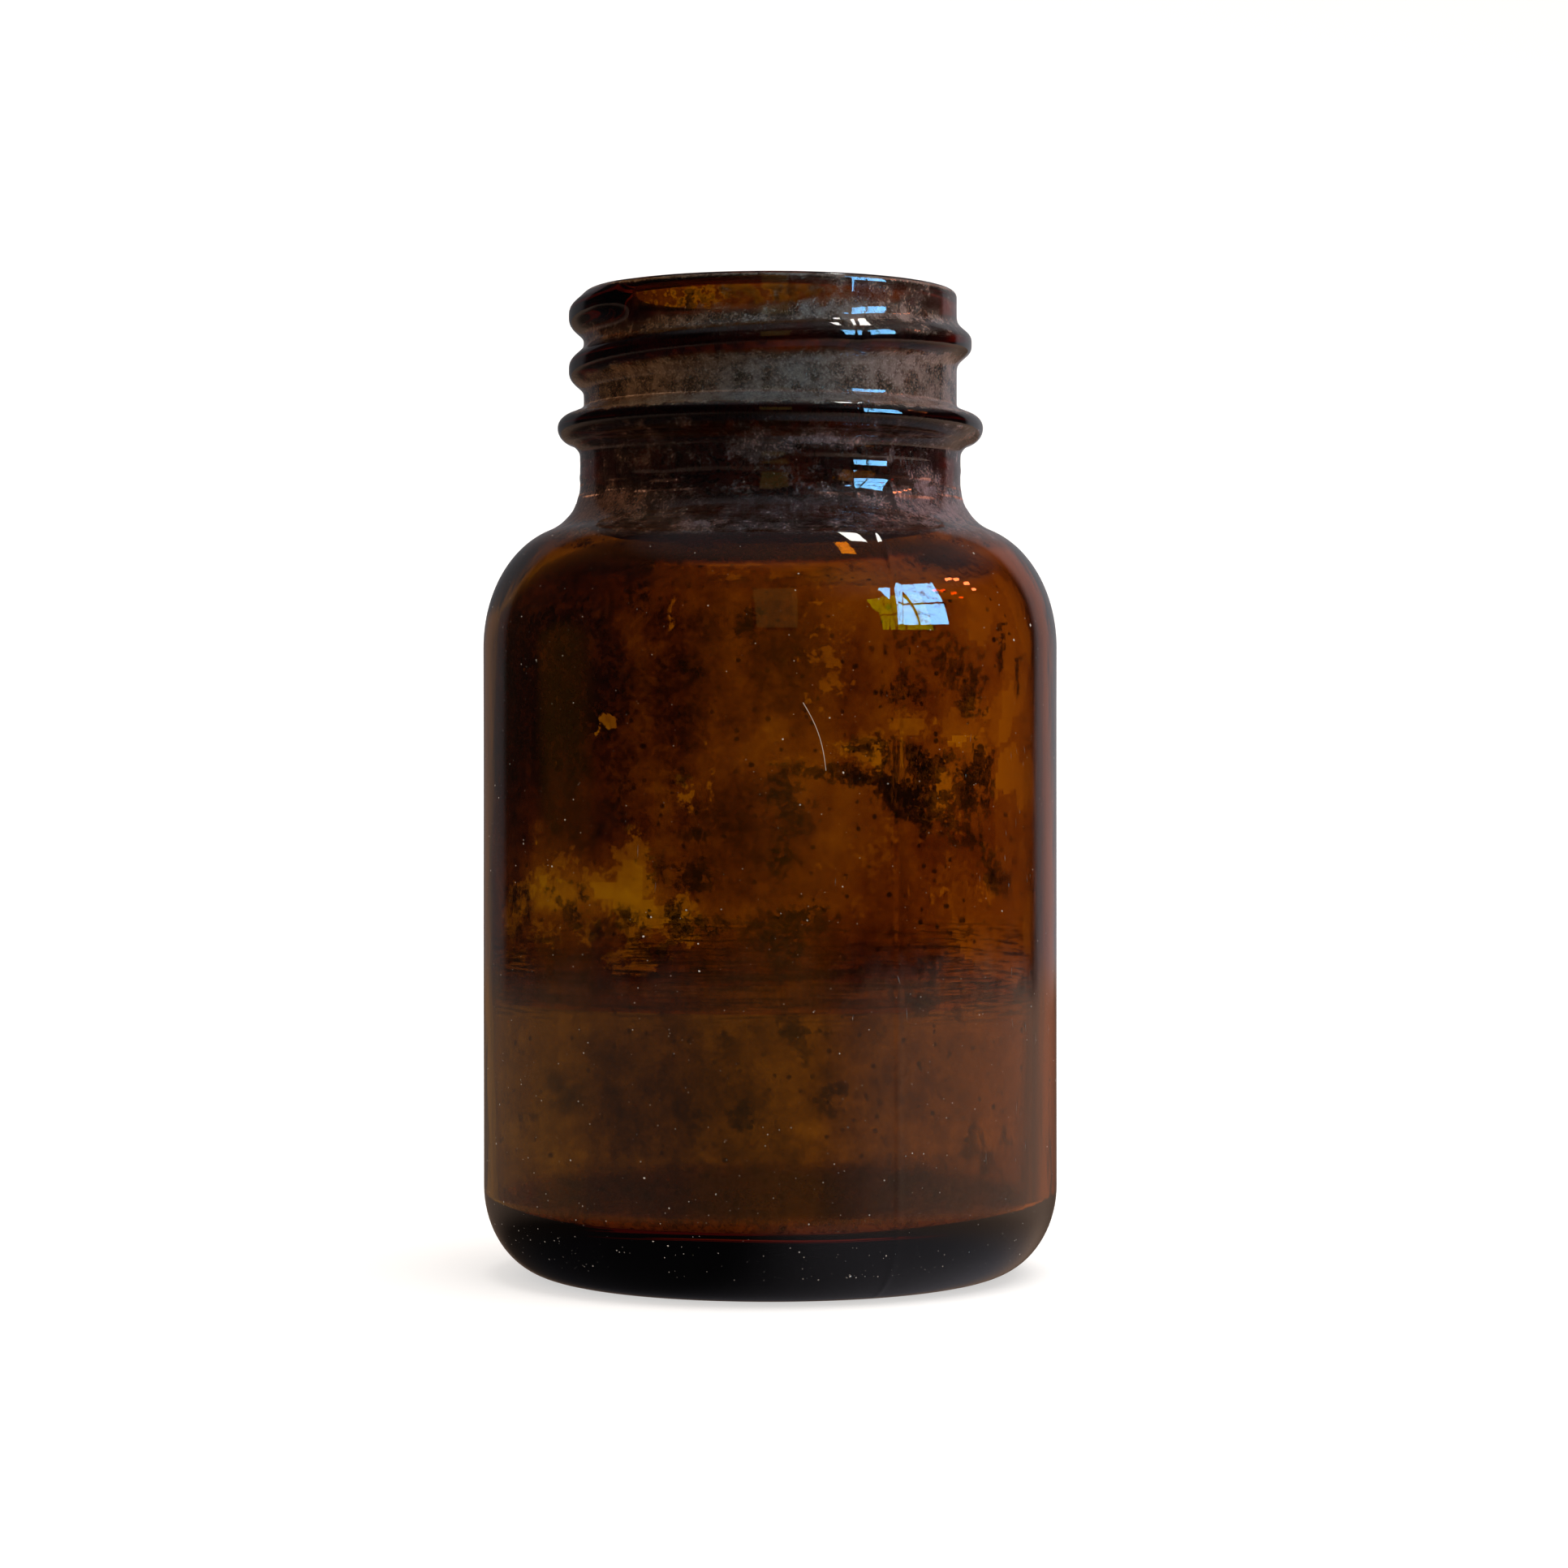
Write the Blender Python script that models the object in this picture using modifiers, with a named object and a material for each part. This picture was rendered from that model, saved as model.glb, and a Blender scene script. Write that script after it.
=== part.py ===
"""Amber glass tablet bottle with a 33-400 screw neck, empty and uncapped, with its dried deposits.

Lengths are in metres and +Z runs up the bottle's axis. The origin is the middle of the circle that
the bottle stands on. The bottle is one turned glass body with a right-hand thread joined to it. The
residue films inside it and the crusts on its neck are thin solids of their own, a small gap off the
glass.
"""
import math

import bmesh
import bpy
from mathutils import Matrix, Vector

MM = 0.001

# Driving dimensions of the glass.
HEIGHT = 77.5 * MM
BODY_RADIUS = 22.65 * MM
WALL = 1.25 * MM
FLOOR_THICKNESS = 5.0 * MM
FLOOR_CORNER = 4.0 * MM

# Finish 33-400: root and crest radius of the thread, its pitch (6 to the inch), and the bore.
ROOT_RADIUS = 14.75 * MM
CREST_RADIUS = 15.93 * MM
PITCH = 25.4 / 6 * MM
BORE_RADIUS = 12.3 * MM
RIM_ROUNDING = 0.6 * MM
LAND_WIDTH = 1.0 * MM

# The thread's two ends, in degrees round the axis from +X, and its height above them.
THREAD_START = 75.0
THREAD_END = 583.7
THREAD_HEIGHT_AT_LEFT = 71.3 * MM
THREAD_RIDGE_RADIUS = 1.3 * MM
THREAD_FADE_IN = 40.0
THREAD_FADE_OUT = 16.0
THREAD_END_SIZE = 0.45
THREAD_END_SINK = 0.55 * MM
THREAD_STEP = 9.0

# Transfer bead and neck.
BEAD_RADIUS = 16.82 * MM
BEAD_HEIGHT = 66.75 * MM
BEAD_ROUNDING = 1.35 * MM
BEAD_BELOW = 1.3 * MM
BEAD_ABOVE = 1.12 * MM
BEAD_FILLET_BELOW = 1.0 * MM
BEAD_FILLET_ABOVE = 0.7 * MM
NECK_RADIUS = 15.05 * MM

# Shoulder: an elliptical quarter that stops short and runs into the neck with a fillet.
SHOULDER_START = 49.4 * MM
SHOULDER_REACH = 7.2 * MM
SHOULDER_RISE = 9.6 * MM
SHOULDER_SWEEP = 73.0
INNER_SHOULDER_REACH = 7.6 * MM
INNER_SHOULDER_RISE = 8.6 * MM

# Base: heel ellipse, bearing ring and push-up.
HEEL_REACH = 5.7 * MM
HEEL_RISE = 7.1 * MM
RING_WIDTH = 2.4 * MM
PUSH_UP = 0.9 * MM

# Thickness of the deposits, and the gap between two solids.
FILM_THICKNESS = 0.2 * MM
CRUST_THICKNESS = 0.2 * MM
CRUST_WIDTH = 0.9 * MM
CRUST_ABOVE_CREST = 2.0 * MM
CRUST_BELOW_CREST = 2.3 * MM
GAP = 0.3 * MM

# Heights that the deposits run between.
TIDE_LINE = 22.5 * MM
FILM_TOP = 56.5 * MM
CORNER_CRUST_LOW = 59.3 * MM
CORNER_CRUST_HIGH = 62.6 * MM

STEPS = 48


def arc(centre_r, centre_z, semi_r, semi_z, start, end, count):
    """Points of an ellipse's arc, as (radius, height), from start to end degrees."""
    points = []
    for i in range(count):
        turn = math.radians(start + (end - start) * i / (count - 1))
        points.append((centre_r + semi_r * math.cos(turn), centre_z + semi_z * math.sin(turn)))
    return points


def shoulder_and_fillet(start_z, radius, reach, rise, neck_radius, count):
    """A shoulder from the body's wall up to the neck: its arc, then the fillet that it runs into."""
    points = arc(radius - reach, start_z, reach, rise, 0, SHOULDER_SWEEP, count)
    end_r, end_z = points[-1]
    sweep = math.radians(SHOULDER_SWEEP)
    lean = math.atan2(reach * math.sin(sweep), rise * math.cos(sweep))
    fillet = (end_r - neck_radius) / (1 - math.cos(lean))
    centre_z = end_z + fillet * math.sin(lean)
    points += arc(neck_radius + fillet, centre_z, fillet, fillet, 180 + math.degrees(lean), 180, 6)[1:]
    return points


def outer_profile():
    """The outside of the glass, from the middle of the base up to the sealing land."""
    ring_outer = BODY_RADIUS - HEEL_REACH
    ring_inner = ring_outer - RING_WIDTH
    points = [(0, PUSH_UP), (ring_inner * 0.6, PUSH_UP * 0.8), (ring_inner, 0)]
    points += arc(ring_outer, HEEL_RISE, HEEL_REACH, HEEL_RISE, -90, 0, 9)
    points += shoulder_and_fillet(SHOULDER_START, BODY_RADIUS, SHOULDER_REACH, SHOULDER_RISE,
                                  NECK_RADIUS, 9)
    bead_centre = BEAD_RADIUS - BEAD_ROUNDING
    points.append((NECK_RADIUS, BEAD_HEIGHT - BEAD_BELOW - BEAD_FILLET_BELOW))
    points += arc(bead_centre, BEAD_HEIGHT, BEAD_ROUNDING, BEAD_BELOW, -78, 0, 5)
    points += arc(bead_centre, BEAD_HEIGHT, BEAD_ROUNDING, BEAD_ABOVE, 0, 78, 5)[1:]
    points.append((ROOT_RADIUS, BEAD_HEIGHT + BEAD_ABOVE + BEAD_FILLET_ABOVE))
    points += arc(ROOT_RADIUS - RIM_ROUNDING, HEIGHT - RIM_ROUNDING, RIM_ROUNDING, RIM_ROUNDING, 0, 90, 4)
    return points


def inner_profile():
    """The inside of the glass, from the middle of the floor up to the sealing land."""
    inner_radius = BODY_RADIUS - WALL
    points = [(0, FLOOR_THICKNESS)]
    points += arc(inner_radius - FLOOR_CORNER, FLOOR_THICKNESS + FLOOR_CORNER,
                  FLOOR_CORNER, FLOOR_CORNER, -90, 0, 6)
    points += shoulder_and_fillet(SHOULDER_START, inner_radius, INNER_SHOULDER_REACH,
                                  INNER_SHOULDER_RISE, BORE_RADIUS, 7)
    land_inner = ROOT_RADIUS - RIM_ROUNDING - LAND_WIDTH
    edge = land_inner - BORE_RADIUS
    points += arc(land_inner, HEIGHT - edge, edge, edge, 180, 90, 4)
    return points


def new_material(name, colour, roughness, transmission=0.0):
    """A Principled material of one colour."""
    material = bpy.data.materials.new(name)
    material.use_nodes = True
    shader = material.node_tree.nodes["Principled BSDF"]
    shader.inputs["Base Color"].default_value = (*colour, 1.0)
    shader.inputs["Roughness"].default_value = roughness
    shader.inputs["Metallic"].default_value = 0.0
    shader.inputs["Transmission Weight"].default_value = transmission
    return material


def add_object(name, mesh, collection, material=None):
    """Put a mesh in a collection as an object of its own."""
    item = bpy.data.objects.new(name, mesh)
    collection.objects.link(item)
    if material:
        item.data.materials.append(material)
    return item


def line_mesh(name, points):
    """A mesh of edges through (radius, height) points in the XZ plane."""
    mesh = bpy.data.meshes.new(name)
    vertices = [(r, 0, z) for r, z in points]
    edges = [(i, i + 1) for i in range(len(points) - 1)]
    mesh.from_pydata(vertices, edges, [])
    return mesh


def turn(item):
    """Revolve an object's outline round Z."""
    screw = item.modifiers.new("Turn", "SCREW")
    screw.axis = "Z"
    screw.angle = math.tau
    screw.steps = STEPS
    screw.render_steps = STEPS
    screw.use_merge_vertices = True
    screw.merge_threshold = 0.00001
    screw.use_smooth_shade = True


def thread_height(degrees):
    """Height of the thread's crest at an angle round the axis. It rises to the left: right-handed."""
    return THREAD_HEIGHT_AT_LEFT + PITCH * (degrees - 180.0) / 360.0


def mesh_from_curve(item, collection):
    """Replace a curve object with a closed mesh object of the same name."""
    name = item.name
    graph = bpy.context.evaluated_depsgraph_get()
    mesh = bpy.data.meshes.new_from_object(item.evaluated_get(graph))
    edit = bmesh.new()
    edit.from_mesh(mesh)
    bmesh.ops.remove_doubles(edit, verts=edit.verts, dist=0.000001)
    edit.to_mesh(mesh)
    edit.free()
    place = item.matrix_world.copy()
    bpy.data.objects.remove(item)
    solid = add_object(name, mesh, collection)
    solid.matrix_world = place
    return solid


def make_thread(collection):
    """The thread's ridge: a round bar wound round the neck, thinner and sunk in at its two ends."""
    count = round((THREAD_END - THREAD_START) / THREAD_STEP)
    curve = bpy.data.curves.new("thread_ridge", "CURVE")
    curve.dimensions = "3D"
    curve.bevel_depth = THREAD_RIDGE_RADIUS
    curve.bevel_resolution = 2
    curve.use_fill_caps = True
    spline = curve.splines.new("POLY")
    spline.points.add(count)
    for i, point in enumerate(spline.points):
        degrees = THREAD_START + (THREAD_END - THREAD_START) * i / count
        fade_in = min(1.0, (degrees - THREAD_START) / THREAD_FADE_IN)
        fade_out = min(1.0, (THREAD_END - degrees) / THREAD_FADE_OUT)
        full = math.sin(math.pi / 2 * min(fade_in, fade_out))
        size = THREAD_END_SIZE + (1 - THREAD_END_SIZE) * full
        radius = CREST_RADIUS - THREAD_RIDGE_RADIUS - THREAD_END_SINK * (1 - full)
        around = math.radians(degrees)
        point.co = (radius * math.cos(around), radius * math.sin(around), thread_height(degrees), 1.0)
        point.radius = size
    item = bpy.data.objects.new("thread_ridge", curve)
    collection.objects.link(item)
    bpy.context.view_layer.update()
    ridge = mesh_from_curve(item, collection)
    ridge.hide_render = True
    ridge.display_type = "WIRE"
    return ridge


def make_bottle(parts, cutters):
    """The glass: one turned outline with the thread joined to it."""
    outline = inner_profile() + outer_profile()[::-1]
    glass = add_object("glass_bottle", line_mesh("glass_bottle", outline), parts,
                       new_material("amber_glass", (0.22, 0.07, 0.01), 0.05, 1.0))
    turn(glass)
    union = glass.modifiers.new("Thread", "BOOLEAN")
    union.operation = "UNION"
    union.solver = "EXACT"
    union.object = make_thread(cutters)
    return glass


def beside(outline, distance):
    """An outline moved sideways by a distance, to the left of the way it runs."""
    moved = []
    for i, point in enumerate(outline):
        before = Vector(outline[max(i - 1, 0)])
        after = Vector(outline[min(i + 1, len(outline) - 1)])
        along = (after - before).normalized()
        moved.append((max(point[0] - distance * along.y, 0.0), point[1] + distance * along.x))
    return moved


def turned_skin(name, outline, parts, material):
    """A thin solid of revolution that lies a gap off the glass, to the left of the glass's outline."""
    near = beside(outline, GAP)
    skin = add_object(name, line_mesh(name, near[::-1]), parts, material)
    turn(skin)
    solidify = skin.modifiers.new("Thickness", "SOLIDIFY")
    solidify.thickness = FILM_THICKNESS
    solidify.offset = -1.0
    solidify.use_even_offset = True
    return skin


def make_films(parts):
    """Dried residue inside: a cup below the tide line, and a sleeve from there up to the shoulder."""
    inside = inner_profile()
    wall = BODY_RADIUS - WALL
    cup = [point for point in inside if point[1] < TIDE_LINE]
    cup.append((wall, TIDE_LINE - GAP / 2))
    turned_skin("lower_residue_film", cup, parts,
                new_material("brown_residue", (0.10, 0.045, 0.02), 0.8))
    sleeve = [(wall, TIDE_LINE + GAP / 2)]
    sleeve += [point for point in inside if TIDE_LINE < point[1] < FILM_TOP]
    turned_skin("upper_residue_film", sleeve, parts,
                new_material("dark_residue", (0.03, 0.012, 0.006), 0.7))


def spiral_band(name, first, last, rise, parts, material):
    """A crust strip on the neck that follows the thread, from first to last degrees round the axis."""
    radius = ROOT_RADIUS + GAP + CRUST_THICKNESS / 2
    steps = round((last - first) / THREAD_STEP)
    height = thread_height(first) + rise
    section = [(-0.5, -0.5), (0.5, -0.5), (0.5, 0.5), (-0.5, 0.5)]
    edit = bmesh.new()
    corners = [edit.verts.new((radius + CRUST_THICKNESS * u, 0, height + CRUST_WIDTH * v))
               for u, v in section]
    start = edit.faces.new(corners)
    bmesh.ops.spin(edit, geom=[start, *start.edges, *start.verts], cent=(0, 0, 0), axis=(0, 0, 1),
                   dvec=(0, 0, PITCH * (last - first) / 360.0 / steps),
                   angle=math.radians(last - first), steps=steps, use_duplicate=False)
    bmesh.ops.rotate(edit, verts=edit.verts, cent=(0, 0, 0),
                     matrix=Matrix.Rotation(math.radians(first), 3, "Z"))
    bmesh.ops.holes_fill(edit, edges=[edge for edge in edit.edges if edge.is_boundary])
    bmesh.ops.recalc_face_normals(edit, faces=edit.faces)
    mesh = bpy.data.meshes.new(name)
    edit.to_mesh(mesh)
    edit.free()
    return add_object(name, mesh, parts, material)


def make_crusts(parts):
    """Dust caked above and below the thread, and in the corner of the neck and shoulder."""
    crust = new_material("dust_crust", (0.16, 0.11, 0.07), 0.95)
    spiral_band("upper_groove_crust", 195.0, 430.0, CRUST_ABOVE_CREST, parts, crust)
    spiral_band("lower_groove_crust", 200.0, 420.0, -CRUST_BELOW_CREST, parts, crust)
    corner = [point for point in outer_profile() if CORNER_CRUST_LOW < point[1] < CORNER_CRUST_HIGH]
    turned_skin("neck_corner_crust", corner[::-1], parts, crust)


def main():
    for item in list(bpy.data.objects):
        bpy.data.objects.remove(item, do_unlink=True)
    parts = bpy.data.collections.new("tablet_bottle")
    cutters = bpy.data.collections.new("cutters")
    bpy.context.scene.collection.children.link(parts)
    bpy.context.scene.collection.children.link(cutters)
    make_bottle(parts, cutters)
    make_films(parts)
    make_crusts(parts)


main()
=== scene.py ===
"""Looks of the amber glass tablet bottle: refractive glass, flaking residue inside and dust at its neck.

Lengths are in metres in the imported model's own frame: +Z up the bottle's axis, the front at -Y.
Angles round the axis are in degrees from +X, counted from +X towards +Y, so the front is at 270.
The stains and dust are listed by angle from the front, positive to the right, and height in mm.
"""
import math

import bpy
import numpy as np
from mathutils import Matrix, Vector


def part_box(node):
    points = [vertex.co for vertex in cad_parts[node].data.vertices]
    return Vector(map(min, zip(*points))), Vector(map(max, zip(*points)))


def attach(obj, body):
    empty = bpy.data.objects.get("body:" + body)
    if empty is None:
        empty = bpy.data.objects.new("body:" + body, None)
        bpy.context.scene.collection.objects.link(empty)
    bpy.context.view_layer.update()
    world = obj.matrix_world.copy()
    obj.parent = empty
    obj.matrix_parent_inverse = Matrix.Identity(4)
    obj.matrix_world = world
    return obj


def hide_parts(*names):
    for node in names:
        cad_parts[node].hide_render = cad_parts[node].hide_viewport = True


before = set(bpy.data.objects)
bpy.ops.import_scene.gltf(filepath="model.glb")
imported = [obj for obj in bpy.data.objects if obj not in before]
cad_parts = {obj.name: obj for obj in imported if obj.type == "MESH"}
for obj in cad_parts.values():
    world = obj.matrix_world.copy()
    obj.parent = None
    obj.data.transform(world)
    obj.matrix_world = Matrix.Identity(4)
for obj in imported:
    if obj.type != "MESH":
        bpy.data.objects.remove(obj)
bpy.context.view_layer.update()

MM = 0.001
FRONT = 270.0

# Glass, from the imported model's box and the 33-400 screw finish.
GLASS_LOW, GLASS_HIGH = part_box("glass_bottle")
HEIGHT = GLASS_HIGH[2] - GLASS_LOW[2]
BODY_RADIUS = (GLASS_HIGH[0] - GLASS_LOW[0]) / 2
WALL = 1.25 * MM
CAVITY_SHIFT = -0.35 * MM
FLOOR_THICKNESS = 5.0 * MM
FLOOR_CORNER = 1.7 * MM
ROOT_RADIUS = 14.75 * MM
CREST_RISE = 1.18 * MM
PITCH = 25.4 / 6 * MM
BORE_RADIUS = 12.3 * MM
NECK_RADIUS = 15.05 * MM
RIM_ROUNDING = 0.45 * MM
LAND_WIDTH = 1.0 * MM
THREAD_START, THREAD_END = 75.0, 583.7
THREAD_HEIGHT_AT_LEFT = 71.3 * MM
THREAD_HALF_WIDTH = 1.12 * MM
BEAD_RADIUS, BEAD_HEIGHT = 16.82 * MM, 66.75 * MM
BEAD_ROUNDING, BEAD_BELOW, BEAD_ABOVE = 1.35 * MM, 1.3 * MM, 1.12 * MM
SHOULDER_START, SHOULDER_SWEEP = 49.4 * MM, 73.0
SHOULDER_REACH, SHOULDER_RISE = 7.2 * MM, 9.6 * MM
INNER_SHOULDER_REACH, INNER_SHOULDER_RISE, INNER_SHOULDER_SWEEP = 7.6 * MM, 8.6 * MM, 73.0
HEEL_REACH, HEEL_RISE = 5.7 * MM, 7.1 * MM
RING_WIDTH, PUSH_UP = 2.4 * MM, 0.9 * MM
SEAMS = (294.8, 114.8)
SEAM_RISE, SEAM_WIDTH = 0.04 * MM, 0.30 * MM

# Residue on the inside of the wall.
FILM_GAP, FILM_THICKNESS = 0.04 * MM, 0.05 * MM
TIDE_LINE, TIDE_WAVE = 22.5 * MM, 0.9 * MM
FILM_TOP = 77.1 * MM
OVERLAP = 0.5 * MM
STEP = 0.42 * MM


# ---------------------------------------------------------------- outlines

def arc(centre_r, centre_z, semi_r, semi_z, start, end, count):
    """Points of an ellipse's arc, as rows of (radius, height), from start to end degrees."""
    turn = np.radians(np.linspace(start, end, count))
    return np.column_stack([centre_r + semi_r * np.cos(turn), centre_z + semi_z * np.sin(turn)])


def straight(start, end, count):
    """Points from start to end, both (radius, height), without the two ends."""
    share = np.linspace(0, 1, count + 2)[1:-1, None]
    return np.asarray(start) * (1 - share) + np.asarray(end) * share


def shoulder_and_fillet(radius, reach, rise, neck_radius, reach_angle):
    """From the body's wall up to the neck: an elliptical shoulder and the fillet it runs into."""
    points = arc(radius - reach, SHOULDER_START, reach, rise, 0, reach_angle, 26)
    sweep = math.radians(reach_angle)
    lean = math.atan2(reach * math.sin(sweep), rise * math.cos(sweep))
    fillet = (points[-1][0] - neck_radius) / (1 - math.cos(lean))
    centre_z = points[-1][1] + fillet * math.sin(lean)
    bend = arc(neck_radius + fillet, centre_z, fillet, fillet, 180 + math.degrees(lean), 180, 14)
    return np.vstack([points, bend[1:]])


def outer_outline():
    """The outside of the glass, from the base's middle up to the sealing land."""
    ring_outer = BODY_RADIUS - HEEL_REACH
    ring_inner = ring_outer - RING_WIDTH
    rise_end = (ring_inner - 1.6 * MM, PUSH_UP)
    parts = [straight((0.4 * MM, PUSH_UP), rise_end, 6),
             arc(ring_inner - 1.2 * MM, 0, 1.2 * MM, PUSH_UP * 0.9, 80, 4, 8),
             straight((ring_inner, 0), (ring_outer, 0), 5),
             arc(ring_outer, HEEL_RISE, HEEL_REACH, HEEL_RISE, -90, 0, 22)]
    parts.append(straight(parts[-1][-1], (BODY_RADIUS, SHOULDER_START), 42))
    shoulder = shoulder_and_fillet(BODY_RADIUS, SHOULDER_REACH, SHOULDER_RISE, NECK_RADIUS, SHOULDER_SWEEP)
    bead_centre = BEAD_RADIUS - BEAD_ROUNDING
    under = BEAD_HEIGHT - BEAD_BELOW - 1.0 * MM
    parts += [shoulder, straight(shoulder[-1], (NECK_RADIUS, under), 38)]
    over = BEAD_HEIGHT + BEAD_ABOVE + 0.75 * MM
    bead_foot = (bead_centre + 0.25 * MM, BEAD_HEIGHT - BEAD_BELOW * 0.98)
    bead_top = (bead_centre + 0.36 * MM, BEAD_HEIGHT + BEAD_ABOVE * 0.99)
    parts += [smooth_step((NECK_RADIUS, under), bead_foot, 8),
              arc(bead_centre, BEAD_HEIGHT, BEAD_ROUNDING, BEAD_BELOW, -76, 0, 14),
              arc(bead_centre, BEAD_HEIGHT, BEAD_ROUNDING, BEAD_ABOVE, 6, 72, 12),
              smooth_step(bead_top, (ROOT_RADIUS, over), 8),
              straight((ROOT_RADIUS, over), (ROOT_RADIUS, HEIGHT - RIM_ROUNDING), 74),
              arc(ROOT_RADIUS - RIM_ROUNDING, HEIGHT - RIM_ROUNDING, RIM_ROUNDING, RIM_ROUNDING, 0, 90, 9)]
    return np.vstack(parts)


def smooth_step(start, end, count):
    """A fillet-like run between the bead and the wall beside it, steepest in radius at the bead."""
    share = np.linspace(0, 1, count + 2)[1:-1]
    if start[0] < end[0]:
        bend = share ** 2.2
    else:
        bend = 1 - (1 - share) ** 2.2
    radii = start[0] + (end[0] - start[0]) * bend
    heights = start[1] + (end[1] - start[1]) * share
    return np.column_stack([radii, heights])


def inner_outline():
    """The inside of the glass, from the floor's middle up to the sealing land."""
    radius = BODY_RADIUS - WALL
    corner = FLOOR_CORNER
    parts = [straight((0.4 * MM, FLOOR_THICKNESS), (radius - corner, FLOOR_THICKNESS), 10),
             arc(radius - corner, FLOOR_THICKNESS + corner, corner, corner, -90, 0, 12)]
    parts.append(straight(parts[-1][-1], (radius, SHOULDER_START), 36))
    shoulder = shoulder_and_fillet(radius, INNER_SHOULDER_REACH, INNER_SHOULDER_RISE, BORE_RADIUS,
                                   INNER_SHOULDER_SWEEP)
    land_inner = ROOT_RADIUS - RIM_ROUNDING - LAND_WIDTH
    edge = land_inner - BORE_RADIUS
    parts += [shoulder, straight(shoulder[-1], (BORE_RADIUS, HEIGHT - edge), 14),
              arc(land_inner, HEIGHT - edge, edge, edge, 180, 90, 9)]
    return np.vstack(parts)


# ---------------------------------------------------------------- relief of the glass

def waves(around, height, seed, count, amplitude, longest):
    """A gentle ripple over angle and height: a sum of a few seeded sine waves."""
    rng = np.random.default_rng(seed)
    total = np.zeros(np.broadcast(around, height).shape)
    for _ in range(count):
        turns = rng.integers(1, 8)
        climb = rng.uniform(-1, 1) * math.tau / longest
        total += np.sin(turns * around + climb * height + rng.uniform(0, math.tau)) * rng.uniform(0.4, 1)
    return amplitude * total / count


def angle_between(a, b):
    """Signed difference of two angles in degrees, from -180 to 180."""
    return (a - b + 180.0) % 360.0 - 180.0


def thread_height(degrees):
    """Height of the thread's crest. It rises with the angle, so it is right-handed."""
    return THREAD_HEIGHT_AT_LEFT + PITCH * (degrees - 180.0) / 360.0


def thread_relief(degrees, height):
    """How far the thread stands out of the finish at each angle and height."""
    relief = np.zeros(np.broadcast(degrees, height).shape)
    for turn in (0, 360):
        along = degrees + turn
        fade_in = np.clip((along - THREAD_START) / 40.0, 0, 1)
        fade_out = np.clip((THREAD_END - along) / 14.0, 0, 1)
        strength = np.sin(math.pi / 2 * np.minimum(fade_in, fade_out))
        strength *= 1 - 0.10 * seam_nearness(degrees, 1.4 * MM)
        crest = thread_height(along) - 0.10 * MM * seam_nearness(degrees, 2.0 * MM)
        away = np.abs(height - crest) / THREAD_HALF_WIDTH
        relief = np.maximum(relief, CREST_RISE * strength * np.exp(-math.log(2) * away ** 3.2))
    return relief


def seam_nearness(degrees, width):
    """1 on a mould seam, falling to 0 over a width along the wall."""
    near = 0.0
    for seam in SEAMS:
        away = np.radians(angle_between(degrees, seam)) * BODY_RADIUS / width
        near = near + np.exp(-away ** 2)
    return near


def glass_columns():
    """Angles of the mesh's columns: even, with extra ones close to the two mould seams."""
    even = np.arange(0, 360, 1.8)
    close = [seam + offset for seam in SEAMS for offset in np.arange(-1.5, 1.51, 0.25)]
    return np.unique(np.round(np.concatenate([even, np.array(close) % 360]), 4))


def outer_points(outline, degrees):
    """Points of the outside of the glass, as an array of rows by columns by xyz."""
    r, z = outline[:, :1], outline[:, 1:]
    around = np.radians(degrees)[None, :]
    on_side = np.clip((r - 13 * MM) / (3 * MM), 0, 1)
    relief = on_side * waves(around, z, 3, 9, 0.055 * MM, 26 * MM)
    on_neck = np.clip((z - 59.2 * MM) / (0.8 * MM), 0, 1) * np.clip((64.4 * MM - z) / (0.8 * MM), 0, 1)
    drift = 2.6 * np.sin(around) + 1.3 * np.sin(3 * around + 1.0) + 0.9 * np.sin(11 * around)
    ripple = 0.010 * np.sin(math.tau * z / (0.80 * MM) + drift)
    ripple = ripple + 0.020 * np.sin(math.tau * z / (1.7 * MM) - drift)
    relief = relief + on_neck * ripple * MM
    relief = relief + np.where(z > BEAD_HEIGHT, thread_relief(degrees[None, :], z), 0.0)
    below_rim = np.clip((HEIGHT - z) / (1.5 * MM), 0, 1)
    relief = relief + SEAM_RISE * seam_nearness(degrees[None, :], SEAM_WIDTH) * on_side * below_rim
    radius = r + np.where(z > 0.15 * MM, relief, 0.0)
    return polar(radius, around, z)


def inner_points(outline, degrees, inset=0.0):
    """Points of the inside of the glass, or of a skin inset from it."""
    r, z = outline[:, :1], outline[:, 1:]
    around = np.radians(degrees)[None, :]
    on_wall = np.clip((r - 12 * MM) / (6 * MM), 0, 1)
    swell = on_wall * waves(around, z, 11, 8, 0.20 * MM, 34 * MM)
    floor = np.clip(r / (10 * MM), 0, 1) * waves(around, r, 5, 6, 0.25 * MM, 30 * MM)
    on_floor = np.clip((FLOOR_THICKNESS + 2 * MM - z) / (2 * MM), 0, 1)
    points = polar(r + swell, around, z + on_floor * floor)
    body = np.clip((60 * MM - z) / (8 * MM), 0, 1)
    points[:, :, 0] += CAVITY_SHIFT * body
    if inset:
        points = points - inset * grid_normals(points)
    return points


def polar(radius, around, z):
    """Cylindrical coordinates to an array of points."""
    return np.stack(np.broadcast_arrays(radius * np.cos(around), radius * np.sin(around), z), axis=-1)


def grid_normals(points):
    """Unit normals of a closed ring grid, pointing away from the axis or down."""
    across = np.roll(points, -1, axis=1) - np.roll(points, 1, axis=1)
    up = np.gradient(points, axis=0)
    normal = np.cross(across, up)
    return normal / np.maximum(np.linalg.norm(normal, axis=-1, keepdims=True), 1e-12)


# ---------------------------------------------------------------- meshes

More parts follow.
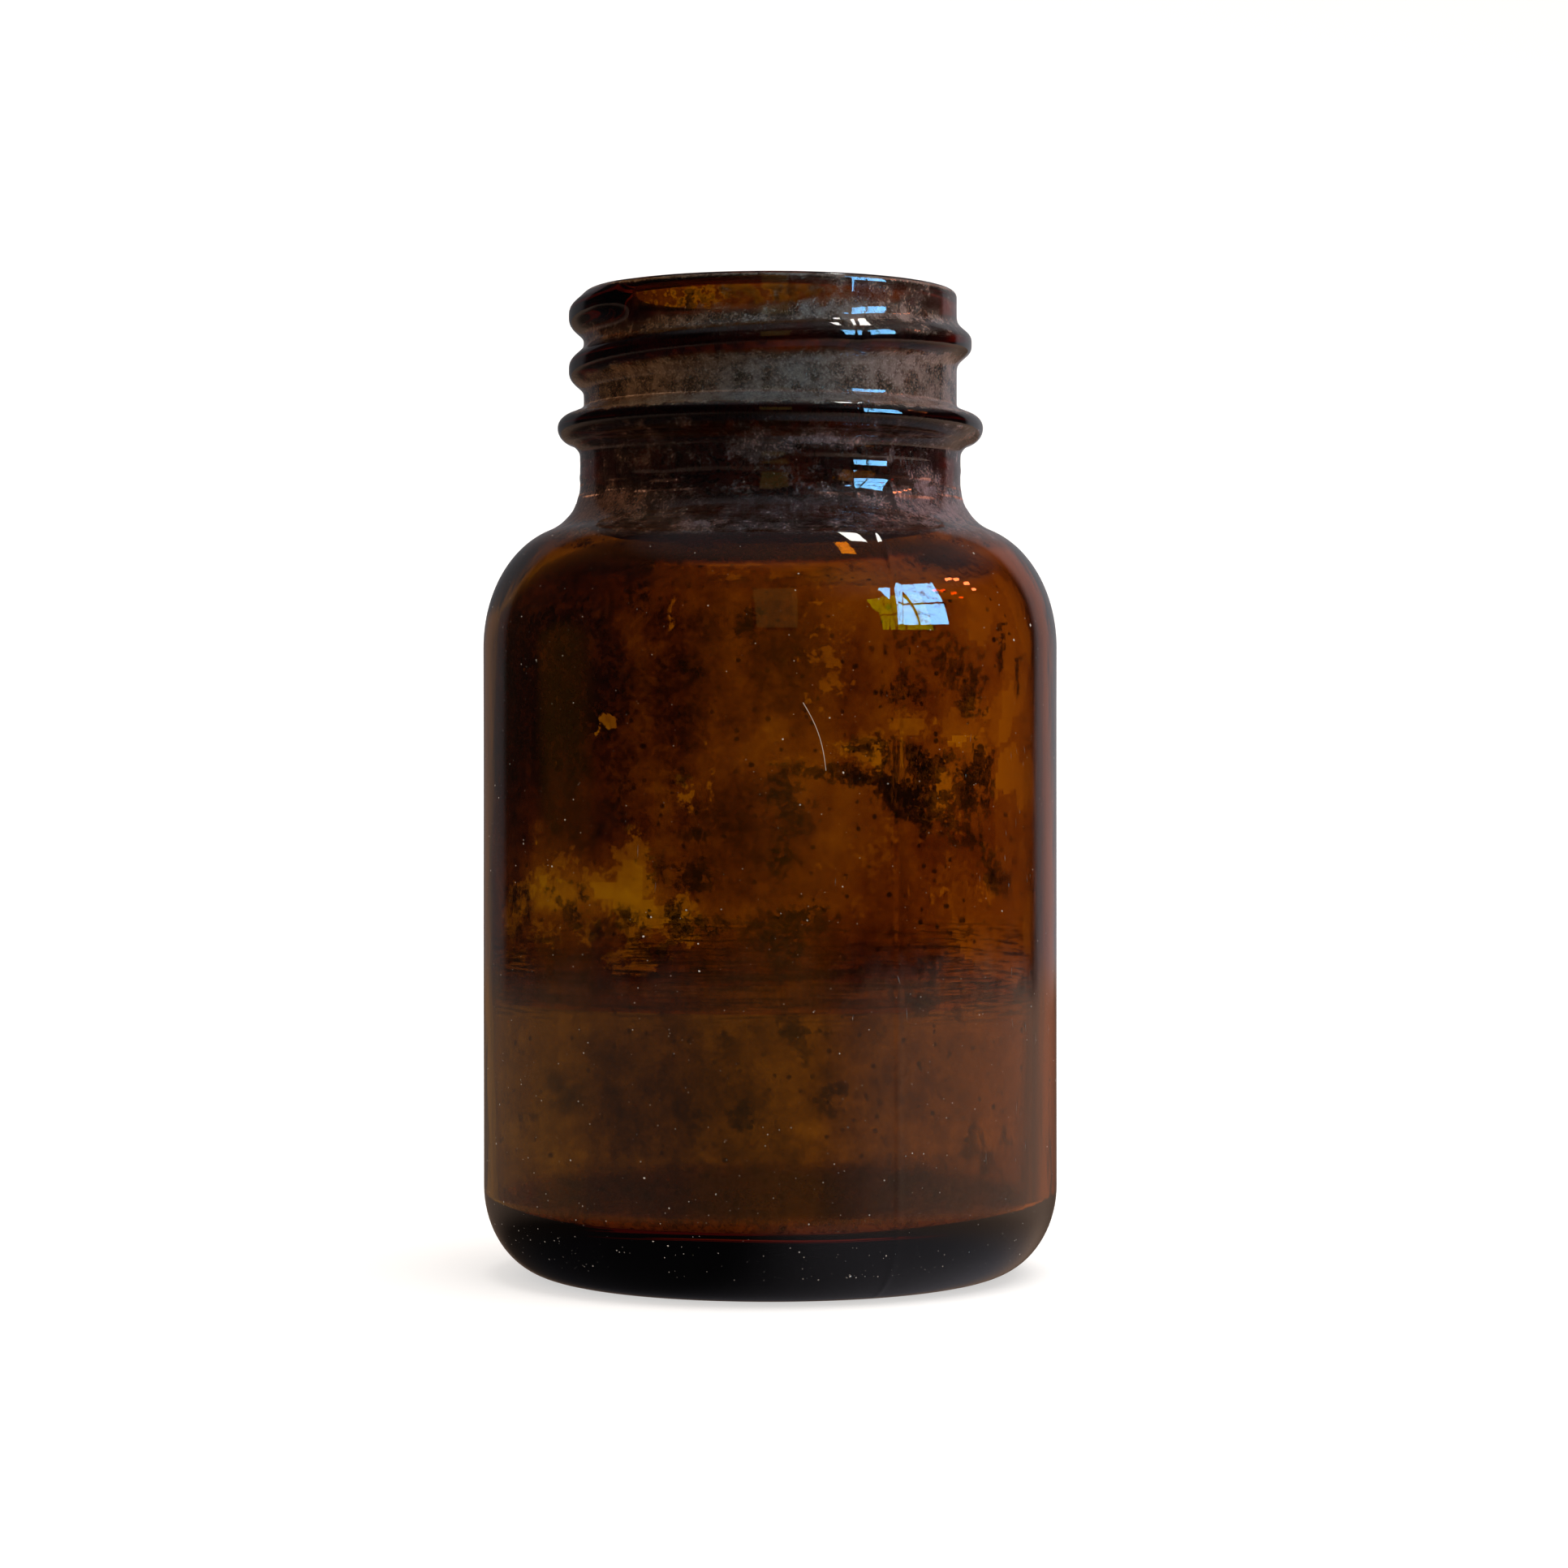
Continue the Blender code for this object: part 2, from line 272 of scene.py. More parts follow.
def ring_faces(rows, columns):
    """Quads between rings of points that run round the axis."""
    i, j = np.meshgrid(np.arange(rows - 1), np.arange(columns), indexing="ij")
    k = (j + 1) % columns
    corners = [i * columns + j, (i + 1) * columns + j, (i + 1) * columns + k, i * columns + k]
    return np.stack(corners, axis=-1).reshape(-1, 4).tolist()


def add_mesh(name, vertices, faces, material, values=None):
    """A smooth-shaded mesh object with one material, and a number for each point under each given name."""
    mesh = bpy.data.meshes.new(name)
    mesh.from_pydata(np.asarray(vertices).reshape(-1, 3).tolist(), [], faces)
    mesh.shade_smooth()
    mesh.materials.append(material)
    for title, numbers in (values or {}).items():
        attribute = mesh.attributes.new(title, "FLOAT", "POINT")
        attribute.data.foreach_set("value", np.asarray(numbers, dtype=np.float32).ravel())
    item = bpy.data.objects.new(name, mesh)
    bpy.context.scene.collection.objects.link(item)
    return item


def add_piece(name, vertices, faces, material, slot, *nodes, values=None):
    """A piece of the object: it rides on the root and stands for CAD nodes."""
    item = add_mesh(name, vertices, faces, material, values)
    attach(item, "root")
    if nodes:
        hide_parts(*nodes)
    return item


def closed_skin(near, far, keep, values):
    """A closed thin solid between two ring grids, over the cells that are kept.

    Gives its points, its faces and the values of its points.
    """
    # Gaps one cell wide are filled, and so are cells that would touch only at a corner.
    keep = keep | (np.roll(keep, 1, 1) & np.roll(keep, -1, 1))
    rows, columns = near.shape[:2]
    for _ in range(6):
        below, right = np.roll(keep, -1, 0), np.roll(keep, -1, 1)
        both = np.roll(below, -1, 1)
        below[-1], both[-1] = False, False
        corner = (keep & both & ~right & ~below)
        keep = keep | np.roll(corner, 1, 1)
        other = (right & below & ~keep & ~both)
        keep = keep | other
    number = np.arange(rows * columns).reshape(rows, columns)
    turned = np.roll(number, -1, 1)
    above = np.vstack([keep[1:], np.zeros((1, columns), bool)])
    under = np.vstack([np.zeros((1, columns), bool), keep[:-1]])
    corners = (number[:-1], number[1:], turned[1:], turned[:-1])
    sides = (np.roll(keep, 1, 1), above, np.roll(keep, -1, 1), under)
    total = rows * columns
    a, b, c, d = (corner[keep] for corner in corners)
    quads = [np.stack([a, b, c, d], 1) + total, np.stack([d, c, b, a], 1)]
    for side in range(4):
        edge = keep & ~sides[side]
        p, q = corners[side][edge], corners[(side + 1) % 4][edge]
        quads.append(np.stack([q + total, p + total, p, q], 1))
    quads = np.vstack(quads)
    used, quads = np.unique(quads, return_inverse=True)
    quads = quads.reshape(-1, 4)
    points = np.concatenate([near.reshape(-1, 3), far.reshape(-1, 3)])[used]
    corner = points[quads]
    across = np.cross(corner[:, 2] - corner[:, 0], corner[:, 3] - corner[:, 1])
    if (corner.mean(1) * across).sum() < 0:
        quads = quads[:, ::-1]
    chosen = {name: np.concatenate([v.ravel(), v.ravel()])[used] for name, v in values.items()}
    return points, quads.tolist(), chosen


def make_glass():
    """The glass as one closed skin: up the inside from the floor, over the rim and down the outside."""
    degrees = glass_columns()
    count = len(degrees)
    inside = inner_points(inner_outline(), degrees)
    outside = outer_points(outer_outline(), degrees)[::-1]
    rings = np.concatenate([inside, outside])
    rows = len(rings)
    vertices = np.vstack([rings.reshape(-1, 3), [[CAVITY_SHIFT, 0, FLOOR_THICKNESS], [0, 0, PUSH_UP]]])
    faces = ring_faces(rows, count)
    floor, base = rows * count, rows * count + 1
    last = (rows - 1) * count
    for j in range(count):
        k = (j + 1) % count
        faces.append([floor, j, k])
        faces.append([base, last + k, last + j])
    return add_piece("amber_glass_body", vertices, faces, glass_material(), "amber_glass", "glass_bottle")


# ---------------------------------------------------------------- residue inside

# Each blot is: angle from the front, height, half-width in degrees, half-height in mm, strength, lean.
# The lean is how many mm it rises over one degree.

# Where the residue has flaked off and the clear amber glass shows.
BARE = [
    (-60, 29.0, 7, 2.2, 0.64, 0.10), (-52, 31.0, 6, 1.7, 0.62, 0.12), (-44, 32.6, 4.5, 1.7, 0.70, 0.05),
    (-36, 31.2, 6, 1.3, 0.85, 0), (-27.5, 32.3, 4.2, 2.2, 1.1, 0), (-24, 28.6, 8, 2.0, 1.1, -0.1),
    (-16.5, 28.6, 3.6, 1.6, 1, 0), (-38, 27.8, 5, 1.2, 0.6, 0), (-50, 27.3, 6, 1.4, 0.7, 0),
    (-58, 25.2, 7, 1.2, 0.7, 0), (-28, 25.6, 6, 1.0, 0.8, 0), (-36.0, 42.7, 1.3, 0.40, 0.75, 0),
    (-33.2, 43.5, 1.8, 0.5, 0.66, 0), (-31.2, 43.3, 1.6, 0.6, 0.62, 0),
    (-18.5, 50.5, 1.4, 3.4, 0.42, 0), (-11, 42, 1.6, 5.0, 0.42, 0), (-15.5, 38.5, 2.0, 1.5, 0.55, 0),
    (-8, 55.6, 17, 1.2, 1.3, 0), (12, 55.2, 12, 1.5, 1.3, 0), (36, 55.0, 20, 1.8, 1.3, -0.02),
    (59, 50, 4.5, 5.0, 1, 0), (60, 42, 5, 5.5, 1, 0), (58, 33, 7, 5.0, 0.9, 0), (49, 28.5, 10, 3.2, 0.8, 0),
    (56, 25.4, 8, 1.6, 0.9, 0), (48, 53, 6, 1.6, 0.7, 0), (29.5, 43.2, 5.0, 1.1, 1.0, 0),
    (42, 41.6, 6, 1.3, 0.85, 0), (47, 44.4, 4, 1.0, 0.7, 0), (46, 50.3, 4, 1.6, 0.6, 0),
    (4, 40.6, 5, 0.5, 0.7, 0), (14, 41.3, 4, 0.7, 0.7, 0), (11, 47, 7, 6.0, 0.36, 0),
    (20, 33, 10, 4.0, 0.50, 0), (40, 31, 8, 3.0, 0.55, 0), (14, 51, 6, 3.0, 0.38, 0),
    (-46.6, 44, 0.5, 8.0, 0.55, 0), (-53, 34.5, 0.5, 2.5, 0.5, 0), (-57, 47, 0.6, 3.0, 0.4, 0),
    (-32, 75.9, 24, 1.9, 0.95, 0), (2, 76.3, 17, 1.5, 0.78, 0),
]

# Thick dark flakes.
FLAKES = [
    (-47, 30.4, 2.6, 0.9, 0.8, 0), (-39, 30.5, 2.0, 0.7, 0.85, 0),
    (-23, 47.0, 7, 2.0, 0.7, 0), (-29, 52.0, 7, 1.6, 0.6, 0), (-32, 36.6, 4, 1.3, 0.8, 0),
    (-29, 38.6, 3, 0.8, 0.6, 0), (-17, 39.6, 3, 1.0, 0.6, 0), (-41, 29.0, 3.2, 0.9, 0.9, 0),
    (-33, 27.4, 3.2, 1.0, 0.9, 0), (-41.5, 31.7, 1.6, 0.5, 0.8, 0), (-19, 33, 4, 2.0, 0.6, 0),
    (4, 37.6, 5.2, 2.3, 1, 0), (3, 33.4, 2.6, 2.4, 0.9, 0), (9, 39.7, 5, 0.8, 1, 0),
    (18, 39.2, 5, 0.8, 0.8, -0.08), (26, 38.4, 6, 1.5, 0.95, -0.1), (34, 37.2, 5, 1.8, 0.95, 0),
    (41, 36.6, 6.5, 2.0, 0.95, -0.05), (46.5, 35.0, 4, 1.4, 0.7, 0), (22, 41.5, 5, 1.0, 0.8, 0),
    (33, 49.2, 7, 1.6, 0.62, 0), (41, 47, 7, 2.0, 0.64, 0), (29, 46.2, 6, 1.5, 0.6, 0.1),
    (44, 45, 4, 1.2, 0.7, 0), (37, 39.8, 7, 1.4, 0.85, 0), (53.5, 49, 0.9, 1.7, 0.8, 0),
    (-9, 28.4, 7, 0.7, 0.8, 0), (-1, 27.4, 5, 0.6, 0.7, 0), (8, 28.6, 6, 1.3, 0.80, 0),
    (5, 26.4, 5, 0.7, 0.7, 0), (-20, 26.4, 4, 0.8, 0.7, 0), (-40, 24.0, 10, 0.5, 0.7, 0),
    (25, 27.6, 2.6, 1.0, 0.55, 0), (34, 24.8, 4, 1.0, 0.75, 0), (33, 22.4, 3.6, 0.8, 0.9, 0),
    (42, 21.6, 4.6, 0.6, 0.9, 0), (9, 20.6, 5, 0.4, 0.9, 0), (-9, 20.0, 2.6, 0.6, 0.8, 0),
    (-4, 13.3, 1.6, 0.4, 0.8, 0), (-26, 21.2, 6, 0.4, 0.5, 0),
]

# Broad soft staining.
STAIN = [
    (-45, 46, 26, 11, 1.02, 0), (-62, 44, 11, 14, 0.92, 0), (-18, 46, 16, 9, 0.80, 0),
    (-8, 35, 18, 6, 0.66, 0), (-38, 37, 22, 5, 0.68, 0), (2, 48, 13, 7, 0.70, 0),
    (34, 46, 16, 6, 0.34, 0), (30, 33, 22, 6, 0.30, 0), (-30, 25, 40, 4, 0.66, 0),
    (12, 25, 26, 4, 0.48, 0), (-20, 15, 40, 9, 0.62, 0), (20, 15, 40, 9, 0.48, 0),
    (16, 46, 7, 6, 0.45, 0), (0, 11, 26, 4, 0.62, 0), (0, 8.6, 60, 3.2, 0.82, 0),
]
# Painted shade: from this height up, the film inside the neck and finish is a dense, dark, even sheet.
NECK_SHADE_FILM, NECK_SHADE_FILM_FROM = 0.97, 59.4 * MM
FLOOR_STAIN = 0.85


def blots(blot_list, degrees, height):
    """The strongest of a list of soft-edged blots at each angle and height."""
    total = np.zeros(np.broadcast(degrees, height).shape)
    for angle, middle, half_width, half_height, strength, lean in blot_list:
        aside = angle_between(degrees, FRONT + angle)
        rise = height / MM - middle - lean * aside
        away = (aside / half_width) ** 2 + (rise / half_height) ** 2
        total = np.maximum(total, strength * np.exp(-math.log(2) * away ** 1.1))
    return total


def scattered(seed, count, low, high, wide, tall, strengths):
    """Blots strewn over the back and sides, where nothing is known of the real ones."""
    rng = np.random.default_rng(seed)
    strewn = []
    for _ in range(count):
        angle = rng.uniform(72, 288)
        spot = (angle, rng.uniform(low, high), rng.uniform(*wide), rng.uniform(*tall),
                rng.uniform(*strengths), rng.uniform(-0.12, 0.12))
        strewn.append(spot)
    return strewn


def film_values(degrees, outline):
    """Stain, flake and bare values over the film's grid of points, with painted shade in the neck as a
    dense, even stain.
    """
    degrees, height = degrees[None, :], outline[:, 1:]
    behind = np.clip((np.abs(angle_between(degrees, FRONT)) - 68) / 12, 0, 1)
    stain = blots(STAIN + scattered(21, 14, 14, 52, (14, 34), (4, 9), (0.12, 0.42)), degrees, height)
    flakes = blots(FLAKES + scattered(22, 46, 8, 54, (2, 8), (0.5, 2.2), (0.5, 0.95)), degrees, height)
    bare = blots(BARE + scattered(23, 30, 25, 54, (3, 9), (0.8, 3.6), (0.5, 1.0)), degrees, height)
    # Painted shade from the neck up: the film is dense, dark and even, and towards the rim it thins and
    # turns to flakes.
    in_neck = np.clip((height - NECK_SHADE_FILM_FROM) / (0.8 * MM), 0, 1)
    near_rim = np.clip((height - 71.5 * MM) / (3.0 * MM), 0, 1)
    stain = np.maximum(stain + 0.10 * behind, (NECK_SHADE_FILM - 0.35 * near_rim) * in_neck)
    on_floor = np.clip((7.0 * MM - height) / (1.5 * MM), 0, 1)
    stain = np.maximum(stain, FLOOR_STAIN * on_floor)
    flakes = np.maximum(flakes, 0.42 * near_rim)
    neck = np.broadcast_to(in_neck * (1 - near_rim), stain.shape).copy()
    return {"stain": stain, "flake": flakes, "bare": bare, "neck": neck}


def resampled(outline, step):
    """The outline with points an even step apart along it."""
    run = np.concatenate([[0], np.cumsum(np.linalg.norm(np.diff(outline, axis=0), axis=1))])
    at = np.linspace(0, run[-1], int(run[-1] / step) + 1)
    return np.column_stack([np.interp(at, run, outline[:, 0]), np.interp(at, run, outline[:, 1])])


def make_film(name, above_tide, material, slot, node):
    """A flaking skin on the inside of the glass, above or below the wavy tide line."""
    degrees = np.arange(0, 360, 1.125)
    outline = resampled(inner_outline(), STEP)
    outline = outline[outline[:, 1] <= (FILM_TOP if above_tide else TIDE_LINE + 2 * TIDE_WAVE + OVERLAP)]
    outline = outline[outline[:, 1] >= (TIDE_LINE - 2 * TIDE_WAVE - OVERLAP if above_tide else 0.0)]
    gap = FILM_GAP if above_tide else FILM_GAP + 1.3 * FILM_THICKNESS
    near = inner_points(outline, degrees, gap)
    far = inner_points(outline, degrees, gap + FILM_THICKNESS)
    values = film_values(degrees, outline)
    height = outline[:, 1:]
    tide = TIDE_LINE + waves(np.radians(degrees)[None, :], 0 * height, 31, 9, 2 * TIDE_WAVE, 1.0)
    past_tide = (height - tide) if above_tide else (tide - height)
    fade = np.clip((past_tide + OVERLAP) / OVERLAP, 0, 1)
    if above_tide:
        fade = fade * np.clip((FILM_TOP - height) / (0.6 * MM), 0, 1)
    values["fade"] = fade
    some = np.maximum(values["stain"], values["flake"]) * 1.4 * fade - 0.6 * values["bare"]
    cell = np.maximum(some[:-1], some[1:])
    cell = np.maximum(cell, np.roll(cell, -1, 1))
    points, faces, values = closed_skin(near, far, cell > 0.04, values)
    return add_piece(name, points, faces, material, slot, node, values=values)


# ---------------------------------------------------------------- dust and lint

GRAINS, GRAIN_SIZE = 2600, 0.028 * MM
SCRATCHES = 45
LINT_RADIUS, LINT_LIFT = 0.018 * MM, 0.040 * MM


def lowest_crest(degrees):
    """Height of the lowest turn of the thread at each angle."""
    return thread_height(np.where(degrees < THREAD_START, degrees + 360, degrees))


def dust_grid(low, high):
    """Angles, outline and points of the outside of the glass between two heights, and its normals.

    The normals point into the glass, so what is built along them lies just under the outer face.
    """
    degrees = np.arange(0, 360, 1.2)
    outline = resampled(outer_outline()[20:], 0.13 * MM)
    rising = outline[:, 1] > low
    outline = outline[rising & (outline[:, 1] < high) & (outline[:, 0] > ROOT_RADIUS - 0.3 * MM)]
    points = outer_points(outline, degrees)
    return degrees, outline, points, -grid_normals(points)


def make_dust(name, low, high, cover_of, thickest, seed, node, tint=(1, 1, 1, 1)):
    """Caked dust just under the outer face of the glass, where cover_of says that it lies."""
    degrees, outline, points, normals = dust_grid(low, high)
    around = np.radians(degrees)[None, :]
    height = outline[:, 1:]
    cover = cover_of(degrees[None, :], height, normals[:, :, 2])
    rng = np.random.default_rng(seed)
    lumps = rng.random(cover.shape)
    lumps = (lumps + np.roll(lumps, 1, 0) + np.roll(lumps, 1, 1) + np.roll(lumps, -1, 1)) / 4
    cover = np.clip(cover * (1 + waves(around, height, seed, 12, 0.9, 7 * MM)), 0, 1.2)
    deep = thickest * np.clip(cover, 0.1, 1) * (0.35 + 0.65 * lumps)
    near = points + 0.006 * MM * normals
    far = points + (0.02 * MM + deep)[:, :, None] * normals
    cell = np.maximum(cover[:-1], cover[1:])
    cell = np.maximum(cell, np.roll(cell, -1, 1))
    skin, faces, values = closed_skin(near, far, cell > 0.12, {"cover": cover})
    return add_piece(name, skin, faces, dust_and_side_light_material(name, seed, tint), "dust_crust", node, values=values)


def groove_cover(degrees, height, downward):
    """Dust in the thread's grooves, thickest on what faces down and towards the front right."""
    groove = 1 - thread_relief(degrees, height) / CREST_RISE
    underside = np.clip(downward, 0, 1) ** 1.5
    ledge = np.clip(-downward, 0, 1) ** 1.5
    right_side = 0.5 + 0.5 * np.cos(np.radians(degrees - 310))
    return groove ** 2 * (0.32 + 0.36 * right_side) + 0.9 * underside * groove + 0.35 * ledge * groove


def lower_groove_cover(degrees, height, downward):
    """Dust between the bead and the lowest turn of the thread."""
    below = np.clip((lowest_crest(degrees) - height) / (0.3 * MM), 0, 1)
    over_bead = np.clip((height - BEAD_HEIGHT - 0.45 * MM) / (0.5 * MM), 0, 1)
    return groove_cover(degrees, height, downward) * below * over_bead


def upper_groove_cover(degrees, height, downward):
    """Dust above the lowest turn of the thread, creeping unevenly up to the rim, with a pale band on the
    rim's top edge that is partly dust and partly a painted highlight on the lip.
    """
    above = np.clip((height - lowest_crest(degrees)) / (0.3 * MM), 0, 1)
    creep = waves(np.radians(degrees), 0 * height, 61, 14, 2.6 * MM, 1.0)
    top = HEIGHT - 2.2 * MM + creep + 0.8 * MM * np.cos(np.radians(degrees - 320))
    fade = np.clip((top - height) / (1.6 * MM), 0, 1)
    # A pale band along the rim's top edge: partly dust, partly a painted highlight on the lip.
    rim_dust_and_highlight = 0.85 * np.clip((height - HEIGHT + 0.42 * MM) / (0.2 * MM), 0, 1)
    high_up = np.clip((height - 75.6 * MM) / (0.8 * MM), 0, 1)
    smear = (0.23 + 0.04 * high_up) * np.clip(np.cos(np.radians(degrees - 312)), 0, 1) * above
    return np.maximum(groove_cover(degrees, height, downward) * above * fade, smear) + rim_dust_and_highlight


def neck_corner_cover(degrees, height, downward):
    """Dust in the corner between the shoulder and the neck, in smudges and as a thin haze."""
    corner = np.exp(-((height - 60.2 * MM) / (1.2 * MM)) ** 2)
    flanks = 0.12 + 0.88 * np.sin(np.radians(degrees - FRONT)) ** 4
    smudge = 0.0
    for angle, middle, wide, tall, strength in ((-2, 64.3, 8, 0.9, 0.42), (14, 64.8, 16, 0.5, 0.40),
                                                (-18, 58.3, 5, 0.5, 0.42), (52, 61.2, 9, 1.6, 0.5),
                                                (172, 64.4, 20, 0.8, 0.42), (120, 62.0, 9, 1.4, 0.42)):
        away = (angle_between(degrees, FRONT + angle) / wide) ** 2 + ((height / MM - middle) / tall) ** 2
        smudge = np.maximum(smudge, strength * np.exp(-away))
    low_down = np.clip((60.5 * MM - height) / (1.5 * MM), 0, 1)
    sideways = np.sin(np.radians(degrees - FRONT)) ** 4
    haze = (0.15 + 0.11 * low_down + 0.16 * sideways) * np.clip((height - 57.2 * MM) / (0.5 * MM), 0, 1)
    return np.maximum(corner * flanks * 0.8, smudge) + haze


def make_specks():
    """Grains of dust and short scratches in the outer face of the glass, as tiny flat solids."""
    rng = np.random.default_rng(41)
    degrees = np.arange(0, 360, 1.0)
    outline = outer_outline()
    outline = resampled(outline[(outline[:, 1] > 2.0 * MM) & (outline[:, 1] < 64 * MM)], 0.5 * MM)
    points = outer_points(outline, degrees)
    normals = -grid_normals(points)
    corners = np.array([[1, 0, 0], [0, 1, 0], [-1, 0, 0], [0, -1, 0], [0, 0, 1], [0, 0, -0.2]])
    sides = [(0, 1, 4), (1, 2, 4), (2, 3, 4), (3, 0, 4), (1, 0, 5), (2, 1, 5), (3, 2, 5), (0, 3, 5)]
    vertices, faces = [], []

    def add_grain(row, column, wide, tall, thick, turn):
        point, normal = points[row, column], normals[row, column]
        up = Vector((0, 0, 1)) - Vector(normal) * float(normal[2])
        up = np.array(up.normalized())
        side = np.cross(up, normal)
        side, up = side * math.cos(turn) + up * math.sin(turn), up * math.cos(turn) - side * math.sin(turn)
        first = len(vertices)
        jitter = 0.4 * MM * (rng.random(2) - 0.5)
        for x, y, z in corners:
            spot = point + side * (x * wide + jitter[0]) + up * (y * tall + jitter[1])
            vertices.append(spot + normal * (z * thick + 0.004 * MM))
        faces.extend([first + a, first + b, first + c] for a, b, c in sides)

    rows = len(outline)
    for _ in range(GRAINS):
        row = int(rows * rng.random() ** 1.5)
        column = int(360 * rng.random())
        size = GRAIN_SIZE * math.exp(rng.normal(0, 0.50))
        add_grain(row, column, size, size * rng.uniform(0.7, 1.4), size * 0.5, rng.uniform(0, math.pi))
    for _ in range(SCRATCHES):
        row = int(rows * rng.uniform(0.12, 0.62))
        column = int(FRONT + rng.choice([rng.normal(52, 9), rng.uniform(-180, 180)])) % 360
        add_grain(row, column, 0.020 * MM, rng.uniform(0.15, 0.6) * MM, 0.008 * MM, rng.normal(0, 0.12))
    return add_piece("dust_specks", vertices, faces, speck_material(), "dust_crust")


def make_lint():
    """A curled lint fibre that sticks to the front of the body."""
    share = np.linspace(0.14, 1, 40)
    aside = 4.8 + 5.6 * share + 1.2 * np.sin(math.pi * share)
    height = (45.6 - 5.8 * share) * MM
    around = np.radians(FRONT + aside)
    radius = BODY_RADIUS + LINT_LIFT
    curve = bpy.data.curves.new("lint_fibre", "CURVE")
    curve.dimensions = "3D"
    curve.bevel_depth = LINT_RADIUS
    curve.bevel_resolution = 2
    curve.use_fill_caps = True
    spline = curve.splines.new("POLY")
    spline.points.add(len(share) - 1)
    for point, turn, level in zip(spline.points, around, height):
        point.co = (radius * math.cos(turn), radius * math.sin(turn), level, 1)
    curve.materials.append(speck_material())
    item = bpy.data.objects.new("lint_fibre", curve)
    bpy.context.scene.collection.objects.link(item)
    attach(item, "root")
    return item


# ---------------------------------------------------------------- materials

GLASS_IOR = 1.52
AMBER, AMBER_DENSITY = (0.934, 0.828, 0.0, 1), 3500.0
BLACK, WHITE = (0, 0, 0, 1), (1, 1, 1, 1)

# Residue at the tide line, just above the floor and on the floor.
TIDE_COLOUR = (0.150, 0.074, 0.040, 1)
LOW_COLOUR = (0.160, 0.070, 0.038, 1)
FLOOR_COLOUR = (0.82, 0.37, 0.205, 1)


class Shader:
    """Adds and links the nodes of one material or world."""

    def __init__(self, owner, output):
        owner.use_nodes = True
        self.owner = owner
        self.tree = owner.node_tree
        self.tree.nodes.clear()
        self.output = self.tree.nodes.new(output)

    def feed(self, socket, value):
        """Link a socket or a node's first output to a socket, or set the socket's own value."""
        if isinstance(value, bpy.types.Node):
            value = value.outputs[0]
        if isinstance(value, bpy.types.NodeSocket):
            self.tree.links.new(value, socket)
        else:
            socket.default_value = value

    def add(self, kind, sockets=None, **settings):
        """A shader node, with its settings and what goes into its sockets."""
        node = self.tree.nodes.new("ShaderNode" + kind)
        for key, value in settings.items():
            setattr(node, key, value)
        for key, value in (sockets or {}).items():
            self.feed(node.inputs[key], value)
        return node

    def math(self, operation, first, second=0.0, third=0.0):
        """The result of a Math node."""
        return self.add("Math", {0: first, 1: second, 2: third}, operation=operation).outputs[0]

    def ramp(self, value, low, high, to_low=0.0, to_high=1.0, smooth=True):
        """A value carried from one range to another, held at its ends."""
        kind = "SMOOTHSTEP" if smooth else "LINEAR"
        sockets = {"Value": value, "From Min": low, "From Max": high, "To Min": to_low, "To Max": to_high}
        return self.add("MapRange", sockets, interpolation_type=kind).outputs[0]

    def blend(self, share, first, second):
        """A colour between two colours."""
        return self.add("Mix", {0: share, 6: first, 7: second}, data_type="RGBA").outputs[2]

    def number_between(self, share, first, second):
        """A number between two numbers."""
        return self.add("Mix", {0: share, 2: first, 3: second}, data_type="FLOAT").outputs[0]

    def tinted(self, colour, tint):
        """A colour multiplied by another."""
        sockets = {0: 1.0, 6: colour, 7: tint}
        return self.add("Mix", sockets, data_type="RGBA", blend_type="MULTIPLY").outputs[2]

    def place(self):
        """Where a point is in the object's own coordinates."""
        return self.add("TexCoord").outputs["Object"]

    def place_along(self, axis):
        """One of the object's own coordinates: 0 for x, 1 for y, 2 for z."""
        return self.add("SeparateXYZ", {0: self.place()}).outputs[axis]

    def noise(self, scale, detail=6.0, roughness=0.55, stretch=(1, 1, 1), shift=0.0):
        """Fractal noise in the object's own coordinates; the scale is per metre."""
        sockets = {"Vector": self.place(), "Scale": stretch, "Location": (shift, shift, shift)}
        spread = self.add("Mapping", sockets)
        sockets = {"Vector": spread, "Scale": scale, "Detail": detail, "Roughness": roughness}
        return self.add("TexNoise", sockets).outputs[0]

    def value_of(self, name):
        """A number stored on the mesh's points."""
        return self.add("Attribute", attribute_name=name).outputs["Fac"]


def new_material(name):
    """An empty material of this name, with its node helper."""
    return Shader(bpy.data.materials.new(name), "ShaderNodeOutputMaterial")


def glass_material():
    """Deep amber glass: clear inside its surface, greasy here and there, coloured along the way."""
    s = new_material("amber_glass")
    smears = s.noise(90, 5, 0.6, (1, 1, 0.5))
    roughness = s.ramp(smears, 0.42, 0.72, 0.012, 0.075)
    ripple = s.noise(260, 3, 0.5, (1, 1, 0.35), 0.4)
    bump = s.add("Bump", {"Strength": 0.06, "Distance": 0.0004, "Height": ripple})
    glass = s.add("BsdfPrincipled", {"Base Color": WHITE, "Roughness": roughness, "IOR": GLASS_IOR,
                                     "Transmission Weight": 1.0, "Normal": bump})
    s.feed(s.output.inputs["Surface"], glass)
    depth = s.add("VolumeAbsorption", {"Color": AMBER, "Density": AMBER_DENSITY})
    s.feed(s.output.inputs["Volume"], depth)
    return s.owner


def torn(s, value, broken, low, high):
    """1 where a blot is, with the noise tearing its edge."""
    near = s.math("MINIMUM", s.math("MULTIPLY", value, 2.4), 1.0)
    return s.ramp(s.math("MULTIPLY_ADD", broken, near, value), low, high)


def tide_streaks(s, height, shift):
    """Fine level streaks that the liquid left at its tide line."""
    streaks = s.noise(650, 5, 0.6, (0.35, 0.35, 8.0), shift)
    band = s.math("MULTIPLY", s.ramp(height, 0.0185, 0.0225), s.ramp(height, 0.0300, 0.0250))
    return s.math("MULTIPLY", s.ramp(streaks, 0.50, 0.56, 0.0, 0.62), band)


